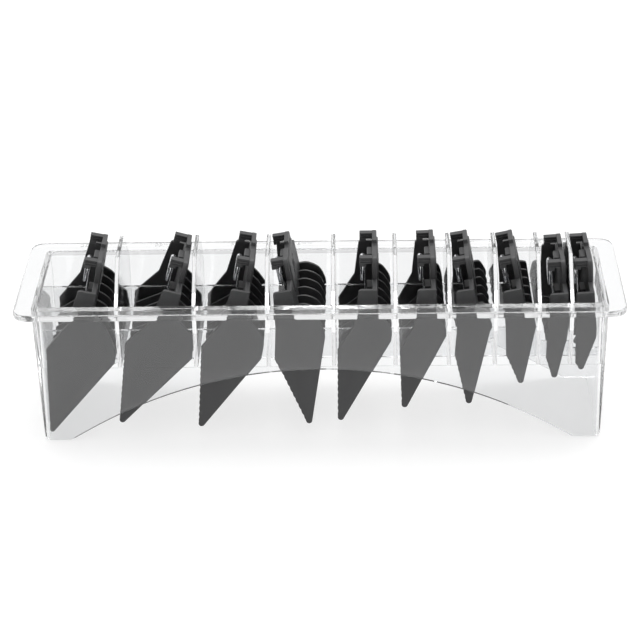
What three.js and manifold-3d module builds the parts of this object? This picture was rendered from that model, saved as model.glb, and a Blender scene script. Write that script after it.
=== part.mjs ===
// Countertop rack with ten clip-on guide combs for a hair clipper.
// Millimetres, +Z up. X runs along the rack, Y from its front to its back.
// The origin is on the surface that the rack stands on, under the middle of the flange.

import * as THREE from 'three';
import { mergeVertices } from 'three/addons/utils/BufferGeometryUtils.js';
import Module from 'manifold-3d';

const wasm = await Module();
wasm.setup();

// ---------- driving dimensions: rack ----------
const RACK_HEIGHT = 68;            // surface to the top of the flange
const FLANGE_THICKNESS = 3;
const FLANGE_CORNER = 8;
const END_OVERHANG = 7.5;          // flange edge to the outside of the end walls
const SIDE_OVERHANG = 6.5;         // flange edge to the outside of the skirts
const WALL = 2.8;                  // thickness under the flange; the draft thins it downwards
const DRAFT = THREE.MathUtils.degToRad(1);
const FOOT_INSIDE = 11.4;          // width of each skirt's foot along X
const FOOT_CORNER = 2.7;
const ARCH_HEIGHT = 36.4;
const ARCH_SIDE_PULL = [0.89, 0.2];    // curve handle over the arch's end, as shares of its half width
const ARCH_CROWN_PULL = 0.54;          // and its height; and the handle beside its crown
const COMB_PLAY = 1.75;            // side plate of a comb to the skirt

const DIVIDER = 1.8;
const DIVIDER_BELOW_RAIL = 0.8;    // lower edge of a divider under the lower edge of a rail
const FIN_RISE = 15.8;             // flange top to the upper edge of a divider
const FIN_FLAT = 21.5;             // length of that upper edge along Y

const RAIL = 1.6;
const RAIL_BOTTOM_DROP = 29.5;     // flange top to the lower edge of a rail
const RAIL_TOP_DROPS = [14.8, 22, 25.6];   // flange top to the rail's edge, on its three steps
const RAIL_SLOT_GAP = 0.3;

// ---------- driving dimensions: guide combs ----------
// u is across the comb, positive to the side that lies on the skin; v runs down from the
// top corner of the side plates to the tips of the teeth.
const COMB_WIDTH = 50.4;
const SIDE_PLATE = 1.6;
const TOOTH = 1.3;
const INNER_TEETH = 5;
const TIP_RADIUS = 1.4;
const PLATE_REACH = 5;             // u of the side plates' top corner, on the blade side
const KNEE = [-7.1, 17];           // where the side plates begin to flare
const FRAME_TOP = -10.4;           // v of the heel's upper edge
const FRAME_FACE = 1;              // u of the frame's blade side
const FRAME_THIN = 3.1;            // u of its skin side at the heel
const FRAME_THICK = 3.4;           // and at the roots of the teeth
const ROOT_V = 11.6;               // where the teeth leave the frame's skin side
const FRAME_BOTTOM = 20.3;         // v of the frame's lower edge, on its blade side
const FRAME_CHAMFER = 2.4;         // the skin side ends that much higher
const HEEL_WIDTH = 30;
const HEEL_SUNK = 1;               // how far the heel runs down into the frame
const NOTCH_WIDTH = 6.6;           // notch in the heel's edge, over its tab
const NOTCH_DEPTH = 1.9;
const SEAT_GAP = 0.3;              // comb's frame to the rail that it rests on
const SHOULDER_SETBACK = 1.5;      // inner teeth behind the outline of the side plates

const HOOK_PITCH = 24.6;
const HOOK_WIDTH = 3;
const HOOK_REACH = 4.6;
const HOOK_STEP = 0.4;             // upper face of a hook under the heel's edge
const HOOK_ARM = 3;
const HOOK_LIP = 2.9;
const HOOK_DROP = 1.4;

const TAB_WIDTH = 7;
const TAB_REACH = 1.3;
const TAB_V = [-6.9, -4.3];        // upper and lower face of the heel's middle tab
const ANCHOR_WIDTH = 7;
const ANCHOR_REACH = 1.6;
const ANCHOR_V = [9.6, 12.4];

const CLIP_WIDTH = 6;
const CLIP_THICKNESS = 0.5;
const CLIP_GAP = 0.3;              // leaf to the tab and to the anchor
const CLIP_FOOT = 1.4;             // length of the foot that is turned in under the anchor
const CLIP_FOOT_BEND = 0.5;
const CLIP_LOOP = 0.95;            // bend radius at the top, along the middle of the leaf
const CLIP_HEM_BEND = 0.42;        // bend radius at the hemmed lower end
const CLIP_END_V = 6.9;            // v of that lower end
const CLIP_HEM = 4.2;              // length of the part that is turned up

// One row for each comb, from the longest guard to the shortest.
// bay: width of its bay, between the middles of the dividers; x: its place from the left edge of
// the bay; tilt: degrees, lower end to the right; shoulder and tip: the corner and the tip of
// the side plates (u, v); cheek: the skin side below the root; step: the rail step it stands on.
const COMBS = [
  { name: '25mm', bay: 34.7, x: 23.1, tilt: -12, shoulder: [-14.7, 31.2], tip: [-6.5, 72],
    cheek: [[9.2, 15], [15.4, 25.5], [16.2, 32.4]] },
  { name: '22mm', bay: 34, x: 25.7, tilt: -16, shoulder: [-15.4, 29.9], tip: [-7.7, 69.4],
    cheek: [[8.4, 14.8], [12.8, 19.7], [15.2, 29.6]] },
  { name: '19mm', bay: 32.1, x: 21.6, tilt: -11, shoulder: [-13.8, 30.1], tip: [-7.6, 70],
    cheek: [[8.7, 15.9], [13, 22.1], [13.4, 31.5]] },
  { name: '16mm', bay: 29, x: 7.6, tilt: 9.4, shoulder: [-10.4, 32.2], tip: [-1.2, 66.6],
    cheek: [[7.4, 12], [12, 15.4], [13.8, 21], [13.7, 25]] },
  { name: '13mm', bay: 27.2, x: 16.2, tilt: 0, shoulder: [-14.7, 29.3], tip: [-13.6, 64.7],
    cheek: [[6.3, 13.7], [9.3, 19.1], [9.1, 25]] },
  { name: '10mm', bay: 23.6, x: 14.7, tilt: 2, shoulder: [-13.9, 29.5], tip: [-12.6, 57.8],
    cheek: [[5.7, 14], [6.9, 20], [6.8, 23.1]] },
  { name: '6mm', bay: 20.3, x: 7.6, tilt: 9.8, shoulder: [-10.4, 30.7], tip: [-7.9, 55.4],
    cheek: [[6.2, 12.2], [8.2, 18], [6.8, 21.6]] },
  { name: '4_5mm', bay: 19, x: 7.9, tilt: 12, shoulder: [-9.5, 30.7], tip: [-5.6, 44.8],
    cheek: [[6, 12.8], [6.2, 16], [6, 19.4]] },
  { name: '3mm', bay: 14.2, x: 9.4, tilt: 4, knee: [-5.6, 8], shoulder: [-8, 31], tip: [-4.6, 40],
    cheek: [[2.5, 14], [2.2, 18], [1.8, 21]], thick: 2.8, bottom: 24.8, step: 1 },
  { name: '1_5mm', bay: 13.3, x: 6.6, tilt: 3, knee: [-5.4, 17], shoulder: [-5.9, 34.5], tip: [-3.4, 36.4],
    cheek: [[3.6, 14], [3.7, 18], [3.6, 21.5]], thick: 3.4, bottom: 28.8, step: 2 },
];

// ---------- sizes that follow ----------
const INNER_LENGTH = COMBS.reduce((sum, comb) => sum + comb.bay, 0);
const BODY_LENGTH = INNER_LENGTH + 2 * WALL;
const FLANGE_LENGTH = BODY_LENGTH + 2 * END_OVERHANG;
const INNER_DEPTH = COMB_WIDTH + 2 * COMB_PLAY;
const BODY_DEPTH = INNER_DEPTH + 2 * WALL;
const FLANGE_DEPTH = BODY_DEPTH + 2 * SIDE_OVERHANG;
const WALL_TOP = RACK_HEIGHT - FLANGE_THICKNESS;
const FIN_TOP = RACK_HEIGHT + FIN_RISE;
const RAIL_BOTTOM = RACK_HEIGHT - RAIL_BOTTOM_DROP;
const RAIL_TOPS = RAIL_TOP_DROPS.map((drop) => RACK_HEIGHT - drop);
const DIVIDER_BOTTOM = RAIL_BOTTOM - DIVIDER_BELOW_RAIL;

// The side plates and the inner teeth are evenly spaced, and each rail stands in the outermost gap.
const TOOTH_PITCH = (COMB_WIDTH - SIDE_PLATE) / (INNER_TEETH + 1);
const RAIL_PITCH = COMB_WIDTH - SIDE_PLATE - TOOTH_PITCH;

// Left edge of each bay, and the dividers between them.
const BAY_X = [-INNER_LENGTH / 2];
COMBS.forEach((comb, i) => BAY_X.push(BAY_X[i] + comb.bay));
const DIVIDER_X = BAY_X.slice(1, -1);

// ---------- materials ----------
const clearPlastic = new THREE.MeshStandardMaterial({
  color: 0xf1f4f5, roughness: 0.08, metalness: 0, transparent: true, opacity: 0.3,
});
const blackNylon = new THREE.MeshStandardMaterial({ color: 0x1d1d1e, roughness: 0.55, metalness: 0 });
const polishedSteel = new THREE.MeshStandardMaterial({ color: 0xcfd2d6, roughness: 0.18, metalness: 1 });

// ---------- helpers ----------
function solidOf(geometry) {
  const bare = geometry.index ? geometry.toNonIndexed() : geometry.clone();
  bare.deleteAttribute('normal');
  bare.deleteAttribute('uv');
  const merged = mergeVertices(bare, 1e-4);
  return new wasm.Manifold(new wasm.Mesh({
    numProp: 3,
    vertProperties: new Float32Array(merged.attributes.position.array),
    triVerts: new Uint32Array(merged.index.array),
  }));
}

function geometryOf(solid) {
  const mesh = solid.getMesh();
  const geometry = new THREE.BufferGeometry();
  geometry.setAttribute('position', new THREE.BufferAttribute(new Float32Array(mesh.vertProperties), 3));
  geometry.setIndex(new THREE.BufferAttribute(new Uint32Array(mesh.triVerts), 1));
  geometry.computeVertexNormals();
  return geometry;
}

function joined(geometries) {
  return geometries.map(solidOf).reduce((whole, next) => whole.add(next));
}

function outline(points) {
  return new THREE.Shape(points.map(([x, y]) => new THREE.Vector2(x, y)));
}

// A shape drawn in X and Z, given thickness from one Y to another.
function slabAlongY(shape, yLow, yHigh, curveSegments = 6) {
  const geometry = new THREE.ExtrudeGeometry(shape, {
    depth: yHigh - yLow, bevelEnabled: false, curveSegments,
  });
  geometry.rotateX(Math.PI / 2);
  geometry.translate(0, yHigh, 0);
  return geometry;
}

// A shape drawn in Y and Z, given thickness from one X to another.
function slabAlongX(shape, xLow, xHigh, curveSegments = 6) {
  const geometry = new THREE.ExtrudeGeometry(shape, {
    depth: xHigh - xLow, bevelEnabled: false, curveSegments,
  });
  geometry.rotateX(Math.PI / 2);
  geometry.rotateZ(Math.PI / 2);
  geometry.translate(xLow, 0, 0);
  return geometry;
}

function block(xLow, xHigh, yLow, yHigh, zLow, zHigh) {
  const geometry = new THREE.BoxGeometry(xHigh - xLow, yHigh - yLow, zHigh - zLow);
  geometry.translate((xLow + xHigh) / 2, (yLow + yHigh) / 2, (zLow + zHigh) / 2);
  return geometry;
}

function mesh(name, geometry, material) {
  const made = new THREE.Mesh(geometry, material);
  made.name = name;
  return made;
}

// ---------- rack ----------
// Long side of the flange, between its two ends.
function sideRim(side) {
  const inner = side * INNER_DEPTH / 2;
  const outer = side * FLANGE_DEPTH / 2;
  const half = INNER_LENGTH / 2;
  return block(-half, half, Math.min(inner, outer), Math.max(inner, outer), WALL_TOP, RACK_HEIGHT);
}

// End of the flange beyond the opening, over its whole depth, with two round corners.
function endRim(side) {
  const inner = INNER_LENGTH / 2;
  const centre = FLANGE_LENGTH / 2 - FLANGE_CORNER;
  const depth = FLANGE_DEPTH / 2;
  const quarter = Math.PI / 2;
  const shape = new THREE.Shape();
  shape.moveTo(inner, -depth);
  shape.lineTo(centre, -depth);
  shape.absarc(centre, FLANGE_CORNER - depth, FLANGE_CORNER, -quarter, 0);
  shape.absarc(centre, depth - FLANGE_CORNER, FLANGE_CORNER, 0, quarter);
  shape.lineTo(inner, depth);
  shape.closePath();
  const geometry = new THREE.ExtrudeGeometry(shape, {
    depth: FLANGE_THICKNESS, bevelEnabled: false, curveSegments: 6,
  });
  geometry.translate(0, 0, WALL_TOP);
  if (side < 0) geometry.rotateZ(Math.PI);
  return geometry;
}

// Long wall with an arch below, seen from the front. Its ends lean in with the draft.
function skirt(side) {
  const top = BODY_LENGTH / 2;
  const foot = top - WALL_TOP * Math.tan(DRAFT);
  const archEnd = foot - FOOT_INSIDE;
  const shape = new THREE.Shape();
  shape.moveTo(-top, WALL_TOP);
  shape.lineTo(-foot, FOOT_CORNER);
  shape.quadraticCurveTo(-foot, 0, FOOT_CORNER - foot, 0);
  shape.lineTo(-archEnd, 0);
  const sideX = ARCH_SIDE_PULL[0] * archEnd;
  const sideZ = ARCH_SIDE_PULL[1] * ARCH_HEIGHT;
  const crown = ARCH_CROWN_PULL * archEnd;
  shape.bezierCurveTo(-sideX, sideZ, -crown, ARCH_HEIGHT, 0, ARCH_HEIGHT);
  shape.bezierCurveTo(crown, ARCH_HEIGHT, sideX, sideZ, archEnd, 0);
  shape.lineTo(foot - FOOT_CORNER, 0);
  shape.quadraticCurveTo(foot, 0, foot, FOOT_CORNER);
  shape.lineTo(top, WALL_TOP);
  shape.closePath();
  const inner = INNER_DEPTH / 2;
  const outer = BODY_DEPTH / 2;
  const geometry = side > 0
    ? slabAlongY(shape, inner, outer, 10)
    : slabAlongY(shape, -outer, -inner, 10);
  const position = geometry.attributes.position;
  for (let i = 0; i < position.count; i += 1) {
    const outside = Math.abs(position.getY(i)) > (inner + outer) / 2;
    const lean = (WALL_TOP - position.getZ(i)) * Math.tan(DRAFT);
    position.setY(i, side * (outside ? outer - lean : inner));
  }
  return geometry;
}

function endWall(side) {
  const inner = INNER_LENGTH / 2;
  const outer = BODY_LENGTH / 2;
  const lean = WALL_TOP * Math.tan(DRAFT);
  const shape = outline([
    [side * inner, 0],
    [side * (outer - lean), 0],
    [side * outer, WALL_TOP],
    [side * inner, WALL_TOP],
  ]);
  return slabAlongY(shape, -INNER_DEPTH / 2, INNER_DEPTH / 2);
}

// Partition between two bays, with a raised fin above the flange and a slot over each rail.
function divider(x) {
  const half = INNER_DEPTH / 2;
  const slotTop = RAIL_TOPS[0] + RAIL_SLOT_GAP;
  const slotNear = RAIL_PITCH / 2 - RAIL / 2 - RAIL_SLOT_GAP;
  const slotFar = RAIL_PITCH / 2 + RAIL / 2 + RAIL_SLOT_GAP;
  const right = [
    [slotNear, DIVIDER_BOTTOM],
    [slotNear, slotTop],
    [slotFar, slotTop],
    [slotFar, DIVIDER_BOTTOM],
    [half, DIVIDER_BOTTOM],
    [half, RACK_HEIGHT],
    [FIN_FLAT / 2, FIN_TOP],
  ];
  const left = right.map(([y, z]) => [-y, z]).reverse();
  return slabAlongX(outline([...right, ...left]), x - DIVIDER / 2, x + DIVIDER / 2);
}

function rail(side) {
  const half = INNER_LENGTH / 2;
  const steps = [];
  COMBS.forEach((comb, i) => {
    const top = RAIL_TOPS[comb.step ?? 0];
    steps.unshift([BAY_X[i + 1], top], [BAY_X[i], top]);
  });
  const corners = steps.filter(([, top], i) => top !== steps[i - 1]?.[1] || top !== steps[i + 1]?.[1]);
  const shape = outline([[-half, RAIL_BOTTOM], [half, RAIL_BOTTOM], ...corners]);
  const centre = side * RAIL_PITCH / 2;
  return slabAlongY(shape, centre - RAIL / 2, centre + RAIL / 2);
}

// ---------- guide combs ----------
// Where the straight skin side ends and the round tip starts.
function tipStart(comb) {
  const last = comb.cheek[comb.cheek.length - 1];
  return -Math.atan2(last[1] - comb.tip[1], last[0] - comb.tip[0]) - Math.PI / 2;
}

// Adds the skin side from the frame's root to the tip, and the tip's round end.
function addSkinSide(shape, comb) {
  const [tipU, tipV] = comb.tip;
  shape.splineThru(comb.cheek.map(([u, v]) => new THREE.Vector2(u, -v)));
  shape.absarc(tipU, -tipV, TIP_RADIUS, tipStart(comb), -Math.PI, true);
}

// Lower end of the frame: its blade side, its skin side and its v. A short guard's teeth
// slope back so soon that its frame leans to the blade side with them.
function frameFoot(comb) {
  const v = comb.bottom ?? FRAME_BOTTOM;
  const thick = comb.thick ?? FRAME_THICK;
  const [lastU, lastV] = comb.cheek[comb.cheek.length - 1];
  const endU = comb.tip[0] + TIP_RADIUS * Math.cos(tipStart(comb));
  const endV = comb.tip[1] - TIP_RADIUS * Math.sin(tipStart(comb));
  const skin = lastU + (endU - lastU) * (v - lastV) / (endV - lastV);
  const right = v > lastV ? Math.min(thick, skin) : thick;
  return { left: right - thick + FRAME_FACE, right, v, thick };
}

function sidePlateShape(comb) {
  const knee = comb.knee ?? KNEE;
  const thick = comb.thick ?? FRAME_THICK;
  const shape = new THREE.Shape();
  shape.moveTo(-PLATE_REACH, 0);
  shape.lineTo(FRAME_THIN, 0);
  shape.lineTo(thick, -ROOT_V);
  addSkinSide(shape, comb);
  shape.lineTo(comb.shoulder[0], -comb.shoulder[1]);
  shape.lineTo(knee[0], -knee[1]);
  shape.closePath();
  return shape;
}

function innerToothShape(comb) {
  const foot = frameFoot(comb);
  const shape = new THREE.Shape();
  shape.moveTo((FRAME_FACE + foot.thick) / 2, -ROOT_V);
  shape.lineTo(foot.thick, -ROOT_V);
  addSkinSide(shape, comb);
  shape.lineTo(comb.shoulder[0] + SHOULDER_SETBACK, -comb.shoulder[1] - SHOULDER_SETBACK);
  shape.lineTo((foot.left + foot.right) / 2, SHOULDER_SETBACK - foot.v);
  shape.closePath();
  return shape;
}

function frameShape(comb) {
  const foot = frameFoot(comb);
  return outline([
    [FRAME_FACE, 0],
    [FRAME_FACE, -ROOT_V],
    [foot.left, -foot.v],
    [foot.right, FRAME_CHAMFER - foot.v],
    [foot.thick, -ROOT_V],
    [FRAME_THIN, 0],
  ]);
}

function heelShape() {
  const half = HEEL_WIDTH / 2;
  const notch = NOTCH_WIDTH / 2;
  const floor = -FRAME_TOP - NOTCH_DEPTH;
  return outline([
    [-half, -HEEL_SUNK], [half, -HEEL_SUNK], [half, -FRAME_TOP], [notch, -FRAME_TOP],
    [notch, floor], [-notch, floor], [-notch, -FRAME_TOP], [-half, -FRAME_TOP],
  ]);
}

function hookShape() {
  const top = -FRAME_TOP - HOOK_STEP;
  const arm = top - HOOK_ARM;
  const root = (FRAME_FACE + FRAME_THIN) / 2;
  return outline([
    [root, top],
    [-HOOK_REACH, top],
    [-HOOK_REACH, arm - HOOK_DROP],
    [HOOK_LIP - HOOK_REACH, arm - HOOK_DROP],
    [HOOK_LIP - HOOK_REACH, arm],
    [root, arm],
  ]);
}

function combBody(comb) {
  const half = COMB_WIDTH / 2;
  const root = (FRAME_FACE + FRAME_THIN) / 2;
  const parts = [
    slabAlongY(frameShape(comb), -half, half),
    slabAlongX(heelShape(), FRAME_FACE, FRAME_THIN),
    block(-TAB_REACH, root, -TAB_WIDTH / 2, TAB_WIDTH / 2, -TAB_V[1], -TAB_V[0]),
    block(-ANCHOR_REACH, root, -ANCHOR_WIDTH / 2, ANCHOR_WIDTH / 2, -ANCHOR_V[1], -ANCHOR_V[0]),
  ];
  for (const side of [-1, 1]) {
    const edge = side * half;
    const face = side * (half - SIDE_PLATE);
    parts.push(slabAlongY(sidePlateShape(comb), Math.min(edge, face), Math.max(edge, face), 4));
    const hook = side * HOOK_PITCH / 2;
    parts.push(slabAlongY(hookShape(), hook - HOOK_WIDTH / 2, hook + HOOK_WIDTH / 2));
  }
  for (let i = 0; i < INNER_TEETH; i += 1) {
    const y = (i - (INNER_TEETH - 1) / 2) * TOOTH_PITCH;
    parts.push(slabAlongY(innerToothShape(comb), y - TOOTH / 2, y + TOOTH / 2, 4));
  }
  return geometryOf(joined(parts));
}

// Points of a bend from one angle to another, in degrees anticlockwise from +u.
function bend(u, height, radius, from, to) {
  const steps = Math.ceil(Math.abs(to - from) / 30);
  return Array.from({ length: steps + 1 }, (_, i) => {
    const angle = THREE.MathUtils.degToRad(from + (to - from) * i / steps);
    return new THREE.Vector2(u + radius * Math.cos(angle), height + radius * Math.sin(angle));
  });
}

// Sprung leaf: a foot under the anchor, a leg up to the tab, a loop, and an outer leg with a hem.
function clipLeaf() {
  const half = CLIP_THICKNESS / 2;
  const leg = -ANCHOR_REACH - CLIP_GAP - half;
  const foot = -ANCHOR_V[1] - CLIP_GAP - half;
  const loop = -TAB_V[1] - CLIP_GAP - half - CLIP_LOOP;
  const outer = leg - 2 * CLIP_LOOP;
  const end = half + CLIP_HEM_BEND - CLIP_END_V;
  const middle = [
    new THREE.Vector2(leg + CLIP_FOOT, foot),
    ...bend(leg + CLIP_FOOT_BEND, foot + CLIP_FOOT_BEND, CLIP_FOOT_BEND, 270, 180),
    ...bend(leg - CLIP_LOOP, loop, CLIP_LOOP, 0, 180),
    ...bend(outer + CLIP_HEM_BEND, end, CLIP_HEM_BEND, 180, 360),
    new THREE.Vector2(outer + 2 * CLIP_HEM_BEND, end + CLIP_HEM),
  ];
  const near = [];
  const far = [];
  middle.forEach((point, i) => {
    const after = middle[Math.min(i + 1, middle.length - 1)].clone().sub(point);
    const before = point.clone().sub(middle[Math.max(i - 1, 0)]);
    const along = before.normalize().add(after.normalize()).normalize();
    near.push([point.x - along.y * half, point.y + along.x * half]);
    far.unshift([point.x + along.y * half, point.y - along.x * half]);
  });
  return slabAlongY(outline([...near, ...far]), -CLIP_WIDTH / 2, CLIP_WIDTH / 2);
}

// Height of a comb's local origin when the foot of its frame stands on the rails.
function seatedHeight(comb) {
  const tilt = THREE.MathUtils.degToRad(comb.tilt);
  const railTop = RAIL_TOPS[comb.step ?? 0];
  const foot = frameFoot(comb);
  const bladeSide = foot.v * Math.cos(tilt) - foot.left * Math.sin(tilt);
  const skinSide = (foot.v - FRAME_CHAMFER) * Math.cos(tilt) - foot.right * Math.sin(tilt);
  return railTop + SEAT_GAP + Math.max(bladeSide, skinSide);
}

// ---------- assembly ----------
const rackAndCombs = new THREE.Group();

const rack = new THREE.Group();
rack.add(mesh('rack_front_rim', sideRim(-1), clearPlastic));
rack.add(mesh('rack_back_rim', sideRim(1), clearPlastic));
rack.add(mesh('rack_left_rim', endRim(-1), clearPlastic));
rack.add(mesh('rack_right_rim', endRim(1), clearPlastic));
rack.add(mesh('rack_front_skirt', skirt(-1), clearPlastic));
rack.add(mesh('rack_back_skirt', skirt(1), clearPlastic));
rack.add(mesh('rack_left_end', endWall(-1), clearPlastic));
rack.add(mesh('rack_right_end', endWall(1), clearPlastic));
rack.add(mesh('rack_front_rail', rail(-1), clearPlastic));
rack.add(mesh('rack_back_rail', rail(1), clearPlastic));
DIVIDER_X.forEach((x, i) => {
  rack.add(mesh(`rack_divider_${i + 1}`, divider(x), clearPlastic));
});
rackAndCombs.add(rack);

COMBS.forEach((comb, i) => {
  const guide = new THREE.Group();
  guide.position.set(BAY_X[i] + comb.x, 0, seatedHeight(comb));
  guide.rotation.y = -THREE.MathUtils.degToRad(comb.tilt);
  guide.add(mesh(`comb_${comb.name}`, combBody(comb), blackNylon));
  guide.add(mesh(`clip_${comb.name}`, clipLeaf(), polishedSteel));
  rackAndCombs.add(guide);
});

export default rackAndCombs;
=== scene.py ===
import math

import bmesh
import bpy
from mathutils import Matrix, Vector


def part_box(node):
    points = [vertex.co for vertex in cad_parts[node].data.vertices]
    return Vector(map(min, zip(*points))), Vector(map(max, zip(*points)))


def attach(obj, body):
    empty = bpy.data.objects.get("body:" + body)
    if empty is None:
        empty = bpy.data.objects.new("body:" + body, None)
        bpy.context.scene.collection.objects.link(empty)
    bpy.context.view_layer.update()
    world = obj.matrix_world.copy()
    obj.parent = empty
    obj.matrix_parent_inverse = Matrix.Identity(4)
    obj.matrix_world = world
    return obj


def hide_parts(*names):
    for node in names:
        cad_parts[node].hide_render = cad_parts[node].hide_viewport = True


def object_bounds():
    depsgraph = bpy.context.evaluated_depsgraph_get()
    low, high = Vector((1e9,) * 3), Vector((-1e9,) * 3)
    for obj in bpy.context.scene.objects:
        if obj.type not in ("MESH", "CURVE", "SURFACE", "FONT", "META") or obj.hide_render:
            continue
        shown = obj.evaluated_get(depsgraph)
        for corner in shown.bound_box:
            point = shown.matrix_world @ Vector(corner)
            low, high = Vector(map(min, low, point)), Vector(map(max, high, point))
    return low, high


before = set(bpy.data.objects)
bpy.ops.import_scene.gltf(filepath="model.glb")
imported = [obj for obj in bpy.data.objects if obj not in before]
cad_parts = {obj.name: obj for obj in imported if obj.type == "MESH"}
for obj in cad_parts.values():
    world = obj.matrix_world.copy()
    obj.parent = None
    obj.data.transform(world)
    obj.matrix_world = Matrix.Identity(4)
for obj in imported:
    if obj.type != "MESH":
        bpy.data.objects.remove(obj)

cad_low, cad_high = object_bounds()

# ---------- the rack ----------
# One clear moulding of crystal polystyrene: a rounded rim round an open box with arched long walls, nine
# partitions with raised fins and two stepped ledges for the combs. It is injection moulded in one shot,
# so every piece of it is joined here into one skin, with its edges rounded over.

MM = 0.001                     # solids are drawn in millimetres and brought to metres at the end
RIM_CORNER = 8.0
RIM_ROUND = 0.9                # round-over on the rim's outer edges
MOUTH_ROUND = 1.1              # round-over where the opening meets the top of the rim
WALL_CORNER = 3.4              # outside corner of the walls, in plan
CAVITY_CORNER = 2.5
FOOT_ROUND = 1.3
FOOT_WIDTH = 11.4
ARCH_RISE = 36.4
WALL_LEAN = math.radians(1.0)
THIN_WALL_STEP = 0.3           # the walls are that much thinner below the partitions
THIN_WALL_DROP = 0.3           # and that change is that far under the partitions' lower edge
FIN_TOP_HALF = 10.75
FIN_CORNER = 1.0
FIN_ROOT = (2.0, 6.0)          # depths at which a partition steps in under the rim, then into the wall
PARTITION_ROUND = 0.4
LEDGE_ROUND = 0.3
SUNK = 0.8                     # how far a joined piece runs into its neighbour
CUT_PAST = 5.0                 # how far a cutting solid reaches past what it cuts
ARCH_FOOT_PULL = (0.89, 0.2)   # curve handle over the arch's end, as shares of its half width and height
ARCH_CROWN_PULL = 0.54         # handle beside the arch's crown
ARCH_SPREAD = 0.6              # the cut below the feet is that much wider at each end
LEDGE_DROPS = (7.2, 3.6)       # steps of the ledges at the last two partitions
NUMERAL_HEIGHT = 2.7
NUMERAL_RAISE = 0.35
NUMERAL_SUNK = 0.3
LETTER_SCALE = 1.35            # size of the lettering over the height of its figures
TURNS = (0, 30, 60, 90)        # degrees at which a round-over is drawn
MOUTH_TURNS = (0, 22, 45, 68, 90)
SIZES = ["25mm", "22mm", "19mm", "16mm", "13mm", "10mm", "6mm", "4_5mm", "3mm", "1_5mm"]
AXES = {"X": (1, 2, 0), "Y": (0, 2, 1), "Z": (0, 1, 2)}


def box_mm(node):
    """Lowest and highest corner of a CAD node, in millimetres."""
    low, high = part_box(node)
    return low / MM, high / MM


def filleted(corners, steps=5):
    """Outline through corners (a, b) or (a, b, radius), with a curve at each one that has a radius."""
    points = []
    count = len(corners)
    for i, corner in enumerate(corners):
        here = Vector(corner[:2])
        if len(corner) == 2:
            points.append(tuple(here))
            continue
        back = Vector(corners[i - 1][:2]) - here
        ahead = Vector(corners[(i + 1) % count][:2]) - here
        half_angle = back.angle(ahead) / 2
        cut = min(corner[2] / math.tan(half_angle), 0.45 * back.length, 0.45 * ahead.length)
        start = here + back.normalized() * cut
        end = here + ahead.normalized() * cut
        for step in range(steps + 1):
            t = step / steps
            points.append(tuple(start * (1 - t) ** 2 + here * 2 * t * (1 - t) + end * t * t))
    return points


def rounded_box(half_a, half_b, radius):
    """Corners of a rectangle about the origin, ready for filleted."""
    return [(-half_a, -half_b, radius), (half_a, -half_b, radius),
            (half_a, half_b, radius), (-half_a, half_b, radius)]


def placed(mesh_maker, name="solid"):
    """Puts a bmesh into the scene as an object."""
    mesh = bpy.data.meshes.new(name)
    bmesh.ops.recalc_face_normals(mesh_maker, faces=mesh_maker.faces)
    mesh_maker.to_mesh(mesh)
    mesh_maker.free()
    made = bpy.data.objects.new(name, mesh)
    bpy.context.scene.collection.objects.link(made)
    return made


def plate(points, low, high, across, rounding=0.0, segments=2):
    """Closed plate: an outline given thickness along one axis, with its two rims rounded over."""
    first, second, third = AXES[across]
    maker = bmesh.new()
    loops = []
    for level in (low, high):
        loop = []
        for a, b in points:
            place = [0.0, 0.0, 0.0]
            place[first], place[second], place[third] = a, b, level
            loop.append(maker.verts.new(place))
        loops.append(loop)
    caps = [maker.faces.new(loop) for loop in loops]
    for i, corner in enumerate(loops[0]):
        after = (i + 1) % len(points)
        maker.faces.new((corner, loops[0][after], loops[1][after], loops[1][i]))
    bmesh.ops.recalc_face_normals(maker, faces=maker.faces)
    if rounding:
        rims = [edge for cap in caps for edge in cap.edges]
        bmesh.ops.bevel(maker, geom=rims, offset=rounding, segments=segments, profile=0.5,
                        affect="EDGES", clamp_overlap=True)
    return placed(maker)


def stacked(levels):
    """Closed solid through level outlines (points, z) that all have the same number of points."""
    maker = bmesh.new()
    loops = [[maker.verts.new((a, b, z)) for a, b in points] for points, z in levels]
    count = len(loops[0])
    for lower, upper in zip(loops, loops[1:]):
        for i in range(count):
            after = (i + 1) % count
            maker.faces.new((lower[i], lower[after], upper[after], upper[i]))
    maker.faces.new(loops[0])
    maker.faces.new(loops[-1])
    return placed(maker)


def combined(first, others, operation="UNION"):
    """Joins closed solids to the first one, or cuts them out of it."""
    for other in others:
        step = first.modifiers.new("step", "BOOLEAN")
        step.operation = operation
        step.solver = "MANIFOLD"
        step.object = other
    graph = bpy.context.evaluated_depsgraph_get()
    mesh = bpy.data.meshes.new_from_object(first.evaluated_get(graph))
    for used in [first, *others]:
        bpy.data.objects.remove(used)
    made = bpy.data.objects.new("solid", mesh)
    bpy.context.scene.collection.objects.link(made)
    return made


def numeral(text, height, thickness, place):
    """Raised figures as a closed solid, with their back at the place's own XY plane."""
    curve = bpy.data.curves.new("numeral", "FONT")
    curve.body = text
    curve.size = height * LETTER_SCALE
    curve.align_x = "CENTER"
    curve.align_y = "CENTER"
    curve.extrude = thickness / 2
    curve.resolution_u = 3
    letters = bpy.data.objects.new("numeral", curve)
    bpy.context.scene.collection.objects.link(letters)
    graph = bpy.context.evaluated_depsgraph_get()
    mesh = bpy.data.meshes.new_from_object(letters.evaluated_get(graph))
    bpy.data.objects.remove(letters)
    maker = bmesh.new()
    maker.from_mesh(mesh)
    bmesh.ops.remove_doubles(maker, verts=maker.verts, dist=0.0005)
    bmesh.ops.translate(maker, verts=maker.verts, vec=(0, 0, thickness / 2))
    bmesh.ops.transform(maker, verts=maker.verts, matrix=place)
    return placed(maker)


def label(size):
    """The figures moulded on a comb and over its bay."""
    return size.replace("mm", "").replace("_", ".")


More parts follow.
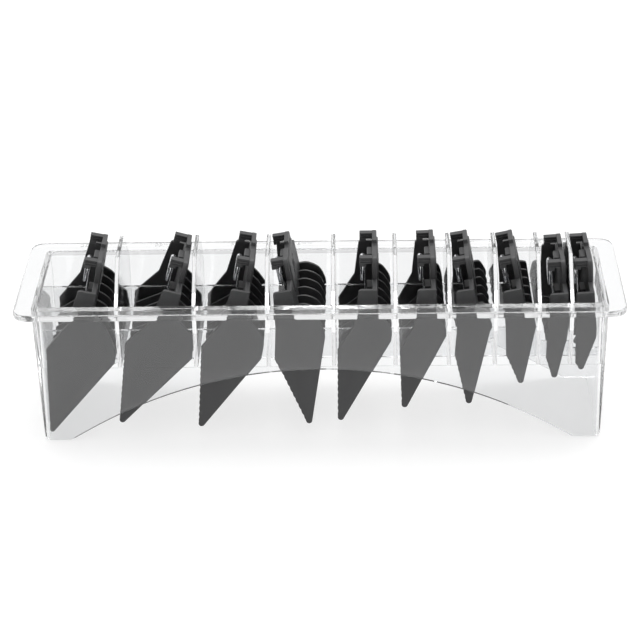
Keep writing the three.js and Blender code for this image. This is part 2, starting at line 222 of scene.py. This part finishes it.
def finished(piece, name, material, body, nodes, sharp=34):
    """Brings a drawn solid to metres, smooths all but its sharp edges, and hangs it on its CAD body."""
    maker = bmesh.new()
    maker.from_mesh(piece.data)
    bmesh.ops.remove_doubles(maker, verts=maker.verts, dist=0.002)
    bmesh.ops.dissolve_degenerate(maker, edges=maker.edges, dist=0.002)
    for face in maker.faces:
        face.smooth = True
    for edge in maker.edges:
        edge.smooth = edge.is_manifold and edge.calc_face_angle(0) < math.radians(sharp)
    maker.to_mesh(piece.data)
    maker.free()
    piece.data.transform(Matrix.Scale(MM, 4))
    piece.name = name
    piece.data.name = name
    piece.data.materials.clear()
    piece.data.materials.append(material)
    normals = piece.modifiers.new("even shading", "WEIGHTED_NORMAL")
    normals.keep_sharp = True
    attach(piece, body)
    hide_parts(*nodes)
    return piece


class Wire:
    """A socket of a material, usable in sums. Each operator adds the Math node that it stands for."""

    def __init__(self, finish, socket):
        self.finish = finish
        self.socket = socket

    def _math(self, operation, *values):
        sockets = dict(enumerate(values))
        return self.finish.node("ShaderNodeMath", {"operation": operation}, sockets)

    def __add__(self, other):
        return self._math("ADD", self, other)

    __radd__ = __add__

    def __sub__(self, other):
        return self._math("SUBTRACT", self, other)

    def __rsub__(self, other):
        return self._math("SUBTRACT", other, self)

    def __mul__(self, other):
        return self._math("MULTIPLY", self, other)

    __rmul__ = __mul__

    def above(self, threshold, softness):
        """0 below the threshold, 1 above it, over a soft step."""
        settings = {"interpolation_type": "SMOOTHSTEP"}
        sockets = {"Value": self, "From Min": threshold - softness, "From Max": threshold + softness}
        return self.finish.node("ShaderNodeMapRange", settings, sockets)


class Finish:
    """A material under construction: its node tree and its Principled shader."""

    def __init__(self, name):
        self.material = bpy.data.materials.new(name)
        self.material.use_nodes = True
        self.tree = self.material.node_tree
        self.shader = self.tree.nodes["Principled BSDF"]

    def node(self, kind, settings=None, sockets=None, output=0):
        """Adds a node with its settings, then its values or links, and gives one output as a Wire."""
        made = self.tree.nodes.new(kind)
        for key, value in (settings or {}).items():
            setattr(made, key, value)
        self.fill(made, sockets or {})
        return Wire(self, made.outputs[output])

    def fill(self, node, sockets):
        """Sets or links the named sockets of a node."""
        for key, value in sockets.items():
            if isinstance(value, Wire):
                self.tree.links.new(value.socket, node.inputs[key])
            else:
                node.inputs[key].default_value = value

    def noise(self, scale, detail=2.0, where=None, distortion=0.0):
        """Cloudy variation; scale is in features per metre."""
        sockets = {"Scale": scale, "Detail": detail, "Distortion": distortion}
        sockets["Vector"] = where or self.place()
        return self.node("ShaderNodeTexNoise", {}, sockets)

    def place(self, stretch=(1, 1, 1), turn=(0, 0, 0)):
        """Object coordinates, stretched or turned."""
        spot = self.node("ShaderNodeTexCoord", {}, {}, "Object")
        return self.node("ShaderNodeMapping", {}, {"Vector": spot, "Scale": stretch, "Rotation": turn})

    def mixed(self, factor, first, second):
        """Colour between two colours."""
        sockets = {"Factor": factor, "A": first, "B": second}
        return self.node("ShaderNodeMix", {"data_type": "RGBA"}, sockets, "Result")

    def bump(self, height, strength, distance):
        """Normal for a surface raised by a height field, distance in metres."""
        sockets = {"Height": height, "Strength": strength, "Distance": distance}
        return self.node("ShaderNodeBump", {}, sockets)

    def made(self, sockets):
        """Fills the shader and hands over the material."""
        self.fill(self.shader, sockets)
        return self.material


def clear_polystyrene():
    """Bright clear plastic with a faint grey tint, slow moulding waves, hairline scratches and smudges."""
    finish = Finish("clear_polystyrene")
    waves = finish.noise(26, 1.0)
    hairlines = finish.noise(420, 3.0, finish.place((1, 0.05, 1), (0, 0.5, 0.4)))
    smudges = finish.noise(45, 4.0, distortion=0.6)
    scratched = hairlines.above(0.7, 0.03)
    smudged = smudges.above(0.62, 0.12)
    tint = finish.mixed(smudged * 0.5, (0.85, 0.855, 0.86, 1), (0.825, 0.83, 0.835, 1))
    return finish.made({
        "Base Color": tint,
        "Roughness": 0.004 + scratched * 0.04 + smudged * 0.02,
        "Transmission Weight": 0.993,
        "IOR": 1.58,
        "Normal": finish.bump(waves + hairlines * 0.02, 0.12, 0.0003),
    })


polystyrene = clear_polystyrene()
rim_low = box_mm("rack_left_rim")[0]
rim_high = box_mm("rack_right_rim")[1]
skirt_low, skirt_high = box_mm("rack_front_skirt")
cavity_x = box_mm("rack_right_end")[0].x
cavity_y = -skirt_high.y
partitions = [box_mm(f"rack_divider_{i + 1}") for i in range(len(SIZES) - 1)]
partition_foot = partitions[0][0].z
fin_top = partitions[0][1].z
lean_in = skirt_high.z * math.tan(WALL_LEAN)


def rim():
    """Rounded plate with the edges of a moulded rim."""
    levels = []
    for turn in TURNS:
        inset = RIM_ROUND * (1 - math.sin(math.radians(turn)))
        rise = RIM_ROUND * (1 - math.cos(math.radians(turn)))
        levels.append((inset, rim_low.z + rise))
    levels += [(inset, rim_high.z + rim_low.z - z) for inset, z in reversed(levels)]
    return stacked([
        (filleted(rounded_box(rim_high.x - inset, rim_high.y - inset, RIM_CORNER - inset), 10), z)
        for inset, z in levels
    ])


def walls():
    """Outside of the open box: drafted, with rounded corners and feet."""
    levels = []
    for turn in TURNS:
        inset = lean_in + FOOT_ROUND * (1 - math.sin(math.radians(turn)))
        levels.append((inset, FOOT_ROUND * (1 - math.cos(math.radians(turn)))))
    levels.append((0.0, skirt_high.z + SUNK))
    half_x = skirt_high.x
    half_y = -skirt_low.y
    return stacked([
        (filleted(rounded_box(half_x - inset, half_y - inset, WALL_CORNER), 6), z) for inset, z in levels
    ])


def mouth():
    """Space inside the walls, flared where it meets the top of the rim."""
    levels = [(0.0, -CUT_PAST)]
    for turn in MOUTH_TURNS:
        flare = MOUTH_ROUND * (1 - math.cos(math.radians(turn)))
        levels.append((flare, rim_high.z - MOUTH_ROUND + MOUTH_ROUND * math.sin(math.radians(turn))))
    levels.append((MOUTH_ROUND, rim_high.z + CUT_PAST))
    return stacked([
        (filleted(rounded_box(cavity_x + flare, cavity_y + flare, CAVITY_CORNER + flare), 6), z)
        for flare, z in levels
    ])


def thinned_walls():
    """The extra space below the partitions, where the walls are thinner."""
    corners = rounded_box(cavity_x + THIN_WALL_STEP, cavity_y + THIN_WALL_STEP, CAVITY_CORNER)
    top = partition_foot - THIN_WALL_DROP
    return stacked([(filleted(corners, 6), -CUT_PAST), (filleted(corners, 6), top)])


def arch():
    """The long arch cut through both long walls."""
    end = skirt_high.x - lean_in - FOOT_WIDTH
    over, up = ARCH_FOOT_PULL
    half = [(end, 0.0), (over * end, up * ARCH_RISE), (ARCH_CROWN_PULL * end, ARCH_RISE), (0.0, ARCH_RISE)]
    steps = 40
    right = []
    for i in range(steps + 1):
        t = i / steps
        weights = ((1 - t) ** 3, 3 * t * (1 - t) ** 2, 3 * t * t * (1 - t), t ** 3)
        right.append(tuple(sum(w * p[k] for w, p in zip(weights, half)) for k in (0, 1)))
    left = [(-a, b) for a, b in reversed(right[:-1])]
    below = [(-end - ARCH_SPREAD, -CUT_PAST), (end + ARCH_SPREAD, -CUT_PAST)]
    return plate([*right, *left, *below], 2 * skirt_low.y, -2 * skirt_low.y, "Y")


def partition(low, high):
    """One partition with its raised fin."""
    slope = (fin_top - rim_high.z) / (cavity_y - FIN_TOP_HALF)
    reach = cavity_y + MOUTH_ROUND
    shoulder = rim_high.z - slope * MOUTH_ROUND
    sunk = cavity_y + SUNK
    near, deep = (shoulder - drop for drop in FIN_ROOT)
    corners = [
        (-sunk, low.z), (sunk, low.z), (sunk, deep), (reach, near), (reach, shoulder),
        (FIN_TOP_HALF, fin_top, FIN_CORNER), (-FIN_TOP_HALF, fin_top, FIN_CORNER),
        (-reach, shoulder), (-reach, near), (-sunk, deep),
    ]
    return plate(filleted(corners), low.x, high.x, "X", PARTITION_ROUND, 3)


def ledge(node):
    """One of the two ledges that the combs stand on, stepped down under the two shortest."""
    low, high = box_mm(node)
    middles = [(left.x + right.x) / 2 for left, right in partitions[-len(LEDGE_DROPS):]]
    corners = [(low.x - SUNK, low.z), (high.x + SUNK, low.z)]
    level = high.z - sum(LEDGE_DROPS)
    corners.append((high.x + SUNK, level))
    for x, drop in reversed(list(zip(middles, LEDGE_DROPS))):
        corners.append((x, level))
        level += drop
        corners.append((x, level))
    corners.append((low.x - SUNK, high.z))
    return plate(corners, low.y, high.y, "Y", LEDGE_ROUND)


def bay_numerals():
    """Cutting lengths moulded on the rim over each bay, front and back."""
    edges = [-cavity_x, *[(low.x + high.x) / 2 for low, high in partitions], cavity_x]
    middle_y = (cavity_y + MOUTH_ROUND + rim_high.y) / 2
    figures = []
    for size, left, right in zip(SIZES, edges, edges[1:]):
        for y in (-middle_y, middle_y):
            place = Matrix.Translation(((left + right) / 2, y, rim_high.z - NUMERAL_SUNK))
            thickness = NUMERAL_SUNK + NUMERAL_RAISE
            figures.append(numeral(label(size) + "mm", NUMERAL_HEIGHT, thickness, place))
    return figures


shell = combined(rim(), [walls()])
shell = combined(shell, [mouth(), thinned_walls(), arch()], "DIFFERENCE")
fittings = [partition(low, high) for low, high in partitions]
fittings += [ledge("rack_front_rail"), ledge("rack_back_rail")]
shell = combined(shell, fittings + bay_numerals())
rack_nodes = [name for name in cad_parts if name.startswith("rack_")]
finished(shell, "clear_rack", polystyrene, "rack", rack_nodes)

# ---------- guide combs ----------
# Ten combs moulded in black glass-filled nylon. Each has a frame that lies on the clipper blade, a heel
# with two hooks, a tab and an anchor for its spring, five inner teeth and two side plates. The blade edges
# of the teeth and of the plates are beaded.

COMB_HALF = 25.2
SIDE_PLATE = 1.6
TOOTH = 1.3
INNER_TEETH = 5
TOOTH_PITCH = (2 * COMB_HALF - SIDE_PLATE) / (INNER_TEETH + 1)
TIP_RADIUS = 1.4
PLATE_REACH = 5.0
FRAME_TOP = -10.4
FRAME_FACE = 1.0
FRAME_THIN = 3.1
FRAME_ROOT = (FRAME_FACE + FRAME_THIN) / 2      # where the joined blocks end inside the frame
ROOT = 11.6
FRAME_CHAMFER = 2.4
HEEL_HALF = 15.0
HEEL_SUNK = 1.0
HEEL_CORNER = 2.6
HEEL_NOTCH = (3.3, 1.9)        # half width and depth of the notch over the tab
TOOTH_SETBACK = 1.5
BEAD_PITCH = 3.1
BEAD_DEPTH = 0.3
HOOK_MIDDLE = 12.3
HOOK_HALF = 1.5
HOOK_REACH = 4.6
HOOK_STEP = 0.4                # the hooks are that much lower than the heel's edge
HOOK_ARM = 3.0
HOOK_LIP = 2.9
HOOK_DROP = 1.4
HOOK_GROOVE = 0.4              # depth of the two grooves round each hook
HOOK_RIB = 0.55
TAB = (1.3, 3.5, -6.9, -4.3)   # reach, half width, upper and lower face
ANCHOR = (1.6, 3.5, 9.6, 12.4)
PAD_HALF = (13.0, 8.2)         # raised panel on the heel's skin side, with the figures
PAD_CORNER = 3.0
FIGURE_HEIGHT = 7.0
FIGURE_LIFT = 0.4              # middle of the figures over the top of the side plates
FIGURE_RAISE = 0.2
FIGURE_SUNK = 0.3
EDGE_ROUND = 0.35              # round-over on the long edges of the frame and the side plates

# u runs across a comb towards the skin, v from the top corner of its side plates down to the tips.
# shoulder and tip are the corner and the tip of the side plates; cheek is the skin side below the root.
# knee is where the side plates begin to flare, thick and bottom are the skin side of the frame at the root
# and its lower edge, and pad is how far the heel's raised panel stands out.
COMBS = {
    "25mm": {"tilt": -12, "shoulder": (-14.7, 31.2), "tip": (-6.5, 72),
             "cheek": [(9.2, 15), (15.4, 25.5), (16.2, 32.4)]},
    "22mm": {"tilt": -16, "shoulder": (-15.4, 29.9), "tip": (-7.7, 69.4),
             "cheek": [(8.4, 14.8), (12.8, 19.7), (15.2, 29.6)]},
    "19mm": {"tilt": -11, "shoulder": (-13.8, 30.1), "tip": (-7.6, 70),
             "cheek": [(8.7, 15.9), (13, 22.1), (13.4, 31.5)]},
    "16mm": {"tilt": 9.4, "shoulder": (-10.4, 32.2), "tip": (-1.2, 66.6),
             "cheek": [(7.4, 12), (12, 15.4), (13.8, 21), (13.7, 25)]},
    "13mm": {"tilt": 0, "shoulder": (-14.7, 29.3), "tip": (-13.6, 64.7),
             "cheek": [(6.3, 13.7), (9.3, 19.1), (9.1, 25)]},
    "10mm": {"tilt": 2, "shoulder": (-13.9, 29.5), "tip": (-12.6, 57.8),
             "cheek": [(5.7, 14), (6.9, 20), (6.8, 23.1)]},
    "6mm": {"tilt": 9.8, "shoulder": (-10.4, 30.7), "tip": (-7.9, 55.4),
            "cheek": [(6.2, 12.2), (8.2, 18), (6.8, 21.6)]},
    "4_5mm": {"tilt": 12, "shoulder": (-9.5, 30.7), "tip": (-5.6, 44.8),
              "cheek": [(6, 12.8), (6.2, 16), (6, 19.4)]},
    "3mm": {"tilt": 4, "shoulder": (-8, 31), "tip": (-4.6, 40), "knee": (-5.6, 8),
            "cheek": [(2.5, 14), (2.2, 18), (1.8, 21)], "thick": 2.8, "bottom": 24.8, "pad": 0.0},
    "1_5mm": {"tilt": 3, "shoulder": (-5.9, 34.5), "tip": (-3.4, 36.4), "knee": (-5.4, 17),
              "cheek": [(3.6, 14), (3.7, 18), (3.6, 21.5)], "thick": 3.4, "bottom": 28.8},
}
COMB_DEFAULTS = {"knee": (-7.1, 17), "thick": 3.4, "bottom": 20.3, "pad": 0.6}


def smooth_through(points, steps=6):
    """Catmull-Rom curve through points, its ends included."""
    spots = [Vector(p) for p in points]
    padded = [spots[0], *spots, spots[-1]]
    curve = [tuple(spots[0])]
    for before, start, end, after in zip(padded, padded[1:], padded[2:], padded[3:]):
        for step in range(1, steps + 1):
            t = step / steps
            pull_in, pull_out = (end - before) / 2, (after - start) / 2
            spot = (start * (2 * t ** 3 - 3 * t * t + 1) + pull_in * (t ** 3 - 2 * t * t + t)
                    + end * (3 * t * t - 2 * t ** 3) + pull_out * (t ** 3 - t * t))
            curve.append(tuple(spot))
    return curve


def beaded(start, end):
    """Points along a blade-side edge whose beads stand on the line from start to end."""
    start, end = Vector(start), Vector(end)
    along = end - start
    inward = Vector((-along.y, along.x)).normalized()
    if inward.x < 0:
        inward.negate()
    count = max(1, round(along.length / BEAD_PITCH))
    points = []
    for i in range(4 * count + 1):
        t = i / (4 * count)
        depth = BEAD_DEPTH * (1 - abs(math.sin(math.pi * count * t)))
        points.append(tuple(start + along * t + inward * depth))
    return points


def skin_side(comb):
    """Skin edge of a tooth, from the root to the end of its round tip, drawn with v downwards as minus."""
    tip_u, tip_v = comb["tip"]
    last_u, last_v = comb["cheek"][-1]
    edge = smooth_through([(comb["thick"], -ROOT), *[(u, -v) for u, v in comb["cheek"]]])
    start = -math.atan2(last_v - tip_v, last_u - tip_u) - math.pi / 2
    steps = 9
    for i in range(steps + 1):
        turn = start + (-math.pi - start) * i / steps
        edge.append((tip_u + TIP_RADIUS * math.cos(turn), -tip_v + TIP_RADIUS * math.sin(turn)))
    return edge


def frame_foot(comb):
    """Blade side and skin side of the frame at its lower edge."""
    start = -math.atan2(comb["cheek"][-1][1] - comb["tip"][1], comb["cheek"][-1][0] - comb["tip"][0])
    start -= math.pi / 2
    end_u = comb["tip"][0] + TIP_RADIUS * math.cos(start)
    end_v = comb["tip"][1] - TIP_RADIUS * math.sin(start)
    last_u, last_v = comb["cheek"][-1]
    skin = last_u + (end_u - last_u) * (comb["bottom"] - last_v) / (end_v - last_v)
    right = min(comb["thick"], skin) if comb["bottom"] > last_v else comb["thick"]
    return right - comb["thick"] + FRAME_FACE, right


def side_plate(comb):
    """Outline of a side plate."""
    shoulder = (comb["shoulder"][0], -comb["shoulder"][1])
    knee = (comb["knee"][0], -comb["knee"][1])
    edge = skin_side(comb)
    blade_edge = beaded(shoulder, edge[-1])[1:-1]
    top = filleted([knee, (-PLATE_REACH, 0, 1.6), (FRAME_THIN, 0), edge[0]])[1:-1]
    return [*top, *edge, *reversed(blade_edge), shoulder, knee]


def inner_tooth(comb):
    """Outline of an inner tooth."""
    left, right = frame_foot(comb)
    edge = skin_side(comb)
    shoulder = (comb["shoulder"][0] + TOOTH_SETBACK, -comb["shoulder"][1] - TOOTH_SETBACK)
    blade_edge = beaded(shoulder, edge[-1])[1:-1]
    root = ((FRAME_FACE + comb["thick"]) / 2, -ROOT)
    foot = ((left + right) / 2, TOOTH_SETBACK - comb["bottom"])
    return [root, *edge, *reversed(blade_edge), shoulder, foot]


def comb_frame(comb):
    """Outline of the frame that carries the teeth."""
    left, right = frame_foot(comb)
    return filleted([
        (FRAME_FACE, 0, 0.5), (FRAME_FACE, -ROOT), (left, -comb["bottom"], 0.4),
        (right, FRAME_CHAMFER - comb["bottom"], 0.8), (comb["thick"], -ROOT), (FRAME_THIN, 0, 0.5),
    ], 3)


def hook(middle):
    """One hook: a core with three ribs round its arm, and a lip that drops behind the blade."""
    top = -FRAME_TOP - HOOK_STEP
    arm = top - HOOK_ARM
    root = FRAME_ROOT
    face = HOOK_GROOVE - HOOK_REACH
    back = HOOK_LIP - HOOK_REACH
    outline = filleted([
        (root, top), (face, top, 0.3), (face, arm - HOOK_DROP, 0.4),
        (back, arm - HOOK_DROP, 0.3), (back, arm), (root, arm),
    ], 3)
    core = HOOK_HALF - HOOK_GROOVE
    parts = [plate(outline, middle - core, middle + core, "Y", 0.2)]
    for i in range(3):
        high = top - i * (HOOK_ARM - HOOK_RIB) / 2
        low = high - HOOK_RIB
        lip = low - (HOOK_DROP if i == 2 else 0)
        corners = [(root, high), (-HOOK_REACH, high, 0.25), (-HOOK_REACH, lip, 0.25),
                   (back, lip), (back, low), (root, low)]
        parts.append(plate(filleted(corners, 3), middle - HOOK_HALF, middle + HOOK_HALF, "Y", 0.18))
    return parts


def nub(reach, half, upper, lower):
    """Small block on the blade side of the frame."""
    corners = [(FRAME_ROOT, -upper), (-reach, -upper, 0.5), (-reach, -lower, 0.5), (FRAME_ROOT, -lower)]
    return plate(filleted(corners, 3), -half, half, "Y", 0.3)


def heel():
    """Plate that carries the hooks, seen from the skin side, with a notch over the tab."""
    top = -FRAME_TOP
    notch, depth = HEEL_NOTCH
    right = [(HEEL_HALF, -HEEL_SUNK), (HEEL_HALF, top, HEEL_CORNER), (notch, top, 0.5),
             (notch - 0.3, top - depth, 0.5)]
    left = [(-y, z, *radius) for y, z, *radius in reversed(right)]
    return plate(filleted([*right, *left], 5), FRAME_FACE, FRAME_THIN, "X", 0.45)


def comb_solid(size, comb):
    """The whole comb in its own frame, joined into one skin."""
    parts = [heel(), nub(*TAB), nub(*ANCHOR)]
    for side in (-1, 1):
        edge, face = side * COMB_HALF, side * (COMB_HALF - SIDE_PLATE)
        parts.append(plate(side_plate(comb), min(edge, face), max(edge, face), "Y", EDGE_ROUND))
        parts += hook(side * HOOK_MIDDLE)
    for i in range(INNER_TEETH):
        y = (i - (INNER_TEETH - 1) / 2) * TOOTH_PITCH
        parts.append(plate(inner_tooth(comb), y - TOOTH / 2, y + TOOTH / 2, "Y", 0.4))
    pad_face = FRAME_THIN + comb["pad"]
    if comb["pad"]:
        corners = rounded_box(*PAD_HALF, PAD_CORNER)
        parts.append(plate(filleted(corners, 6), FRAME_ROOT, pad_face, "X", 0.5))
    turn = Matrix(((0, 0, 1, 0), (1, 0, 0, 0), (0, 1, 0, 0), (0, 0, 0, 1)))
    place = Matrix.Translation((pad_face - FIGURE_SUNK, 0, FIGURE_LIFT)) @ turn
    parts.append(numeral(label(size), FIGURE_HEIGHT, FIGURE_SUNK + FIGURE_RAISE, place))
    body = plate(comb_frame(comb), -COMB_HALF, COMB_HALF, "Y", EDGE_ROUND)
    return combined(body, parts)


def seat(size, comb):
    """Matrix from a comb's own frame to the rack's, read from its CAD solid, in millimetres."""
    turn = Matrix.Rotation(-math.radians(comb["tilt"]), 4, "Y")
    back = turn.inverted()
    spots = [back @ (vertex.co / MM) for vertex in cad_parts[f"comb_{size}"].data.vertices]
    origin_u = min(spot.x for spot in spots) - min(comb["shoulder"][0], comb["tip"][0] - TIP_RADIUS)
    origin_z = max(spot.z for spot in spots) + FRAME_TOP
    return turn @ Matrix.Translation((origin_u, 0, origin_z))


def black_nylon():
    """Satin black nylon: fine spark-eroded grain, faint flow marks, and a painted highlight that makes its
    sharp edges a little brighter and glossier.
    """
    finish = Finish("black_nylon")
    grain = finish.noise(5200, 2.0)
    flow = finish.noise(120, 3.0, finish.place((1, 1, 0.35)), 0.8)
    dust = finish.noise(1500, 2.0).above(0.73, 0.03)
    # painted highlight: sharp convex edges, found by pointiness, are lightened in colour and made a little
    # glossier
    edge_highlight = finish.node("ShaderNodeNewGeometry", {}, {}, "Pointiness").above(0.56, 0.05)
    cloudy = finish.mixed(flow, (0.020, 0.020, 0.021, 1), (0.031, 0.031, 0.032, 1))
    # base colour with the painted edge highlight mixed in
    highlighted = finish.mixed(edge_highlight * 0.6, cloudy, (0.045, 0.045, 0.047, 1))
    return finish.made({
        "Base Color": finish.mixed(dust * 0.25, highlighted, (0.10, 0.10, 0.10, 1)),
        "Roughness": 0.40 + flow * 0.12 + grain * 0.06 - edge_highlight * 0.08,
        "IOR": 1.53,
        "Normal": finish.bump(grain + flow * 0.6, 0.35, 0.00012),
    })


nylon = black_nylon()
for size, given in COMBS.items():
    comb = {**COMB_DEFAULTS, **given}
    guard = comb_solid(size, comb)
    guard.data.transform(seat(size, comb))
    finished(guard, f"guide_comb_{size}", nylon, f"guide_{size}", [f"comb_{size}"])

# ---------- spring clips ----------
# Each comb has one clip of bright spring steel strip. Its foot is turned in under the anchor, its leg rises
# to the tab, loops over and comes down again as a sprung outer leg. That leg has a hemmed end and grips
# the clipper blade.

LEAF_HALF = 3.0
LEAF = 0.46
LEAF_GAP = 0.32
LEAF_FOOT = 1.4
FOOT_BEND = 0.5
LOOP_BEND = 0.95
HEM_BEND = 0.42
HEM = 4.2
LEAF_END = 6.88
LEG_BOW = 0.08                 # how far the leg and the outer leg bow out
OUTER_BOW = 0.06
LEG_STRAIGHT = 6.0             # from either end of the leg to where it bows
OUTER_STRAIGHT = 4.0


def bend(u, height, radius, start, end):
    """Points of a bend from one angle to another, in degrees."""
    steps = math.ceil(abs(end - start) / 15)
    turns = [math.radians(start + (end - start) * i / steps) for i in range(steps + 1)]
    return [(u + radius * math.cos(turn), height + radius * math.sin(turn)) for turn in turns]


def leaf_outline():
    """Side view of the folded strip, drawn with v downwards as minus."""
    leg = -ANCHOR[0] - LEAF_GAP - LEAF / 2
    foot = -ANCHOR[3] - LEAF_GAP - LEAF / 2
    loop = -TAB[3] - LEAF_GAP - LEAF / 2 - LOOP_BEND
    outer = leg - 2 * LOOP_BEND
    end = LEAF / 2 + HEM_BEND - LEAF_END
    middle = [
        (leg + LEAF_FOOT, foot),
        *bend(leg + FOOT_BEND, foot + FOOT_BEND, FOOT_BEND, 270, 180),
        (leg - LEG_BOW, foot + LEG_STRAIGHT), (leg - LEG_BOW, loop - LEG_STRAIGHT),
        *bend(leg - LOOP_BEND, loop, LOOP_BEND, 0, 180),
        (outer - OUTER_BOW, loop - OUTER_STRAIGHT),
        *bend(outer + HEM_BEND, end, HEM_BEND, 180, 360),
        (outer + 2 * HEM_BEND, end + HEM),
    ]
    near, far = [], []
    for i, spot in enumerate(middle):
        before, after = middle[max(0, i - 1)], middle[min(len(middle) - 1, i + 1)]
        along = (Vector(after) - Vector(before)).normalized()
        aside = Vector((-along.y, along.x)) * (LEAF / 2)
        near.append(tuple(Vector(spot) + aside))
        far.append(tuple(Vector(spot) - aside))
    return [*near, *reversed(far)]


def spring_steel():
    """Bright rolled steel with fine lines along the leaf and a few darker handling marks."""
    finish = Finish("spring_steel")
    lines = finish.noise(2600, 2.0, finish.place((1, 1, 0.04)))
    marks = finish.noise(300, 3.0).above(0.62, 0.08)
    return finish.made({
        "Base Color": finish.mixed(marks * 0.6, (0.80, 0.81, 0.83, 1), (0.62, 0.63, 0.65, 1)),
        "Metallic": 1.0,
        "Roughness": 0.14 + lines * 0.12 + marks * 0.10,
        "Normal": finish.bump(lines, 0.2, 0.00004),
    })


steel = spring_steel()
for size, given in COMBS.items():
    comb = {**COMB_DEFAULTS, **given}
    leaf = plate(leaf_outline(), -LEAF_HALF, LEAF_HALF, "Y", 0.12)
    leaf.data.transform(seat(size, comb))
    finished(leaf, f"spring_clip_{size}", steel, f"spring_{size}", [f"clip_{size}"], 50)

# ---------- table, light and camera ----------
# A plain white table and an even white studio, with one broad soft light overhead. The camera looks down
# on the rack's front from a little to its right.

TABLE_HALF = 6.0
TABLE_GAP = 0.0002             # table under the rack's feet
table_mesh = bmesh.new()
corners = [(-1, -1), (1, -1), (1, 1), (-1, 1)]
table_mesh.faces.new([
    table_mesh.verts.new((x * TABLE_HALF, y * TABLE_HALF, cad_low.z - TABLE_GAP)) for x, y in corners
])
table = placed(table_mesh, "table")
surface = Finish("white_table")
mottle = surface.noise(8, 3.0)
table.data.materials.append(surface.made({
    "Base Color": surface.mixed(mottle, (0.30, 0.30, 0.30, 1), (0.32, 0.32, 0.32, 1)),
    "Roughness": 0.9,
    "Specular IOR Level": 0.0,
    "Emission Color": (1, 1, 1, 1),
    "Emission Strength": 0.70,
}))

world = bpy.data.worlds.new("studio")
world.use_nodes = True
world.node_tree.nodes["Background"].inputs["Color"].default_value = (1, 1, 1, 1)
world.node_tree.nodes["Background"].inputs["Strength"].default_value = 0.95
bpy.context.scene.world = world

soft_box = bpy.data.lights.new("soft_box", "AREA")
soft_box.shape = "RECTANGLE"
soft_box.size = 1.6
soft_box.size_y = 0.9
soft_box.energy = 15.0
soft_light = bpy.data.objects.new("soft_box", soft_box)
soft_light.location = (0.1, 0.35, 1.3)
soft_light.rotation_euler = (-0.25, 0.05, 0)
bpy.context.scene.collection.objects.link(soft_light)

CAMERA_PLACE = (0.02016, -0.86477, 0.51521)
CAMERA_LENS = 122.34
SENSOR_WIDTH = 36.0
VIEW_DOWN = math.radians(28.5)
VIEW_RIGHT = math.radians(1.3646)
VIEW_ROLL = math.radians(-1.1232)
ahead = Vector((-math.sin(VIEW_RIGHT) * math.cos(VIEW_DOWN), math.cos(VIEW_RIGHT) * math.cos(VIEW_DOWN),
                -math.sin(VIEW_DOWN)))
level = Vector((math.cos(VIEW_RIGHT), math.sin(VIEW_RIGHT), 0))
upward = level.cross(ahead)
right = level * math.cos(VIEW_ROLL) + upward * math.sin(VIEW_ROLL)
upright = upward * math.cos(VIEW_ROLL) - level * math.sin(VIEW_ROLL)
lens = bpy.data.cameras.new("camera")
lens.lens = CAMERA_LENS
lens.sensor_width = SENSOR_WIDTH
camera = bpy.data.objects.new("camera", lens)
facing = Matrix((right, upright, -ahead)).transposed().to_4x4()
camera.matrix_world = Matrix.Translation(CAMERA_PLACE) @ facing
bpy.context.scene.collection.objects.link(camera)
bpy.context.scene.camera = camera

CLEAR_BOUNCES = 32             # light turns many times inside the clear walls before it leaves them
studio = bpy.context.scene
studio.view_settings.view_transform = "Standard"
studio.cycles.max_bounces = CLEAR_BOUNCES
studio.cycles.transmission_bounces = CLEAR_BOUNCES
studio.cycles.glossy_bounces = CLEAR_BOUNCES
studio.cycles.transparent_max_bounces = 16
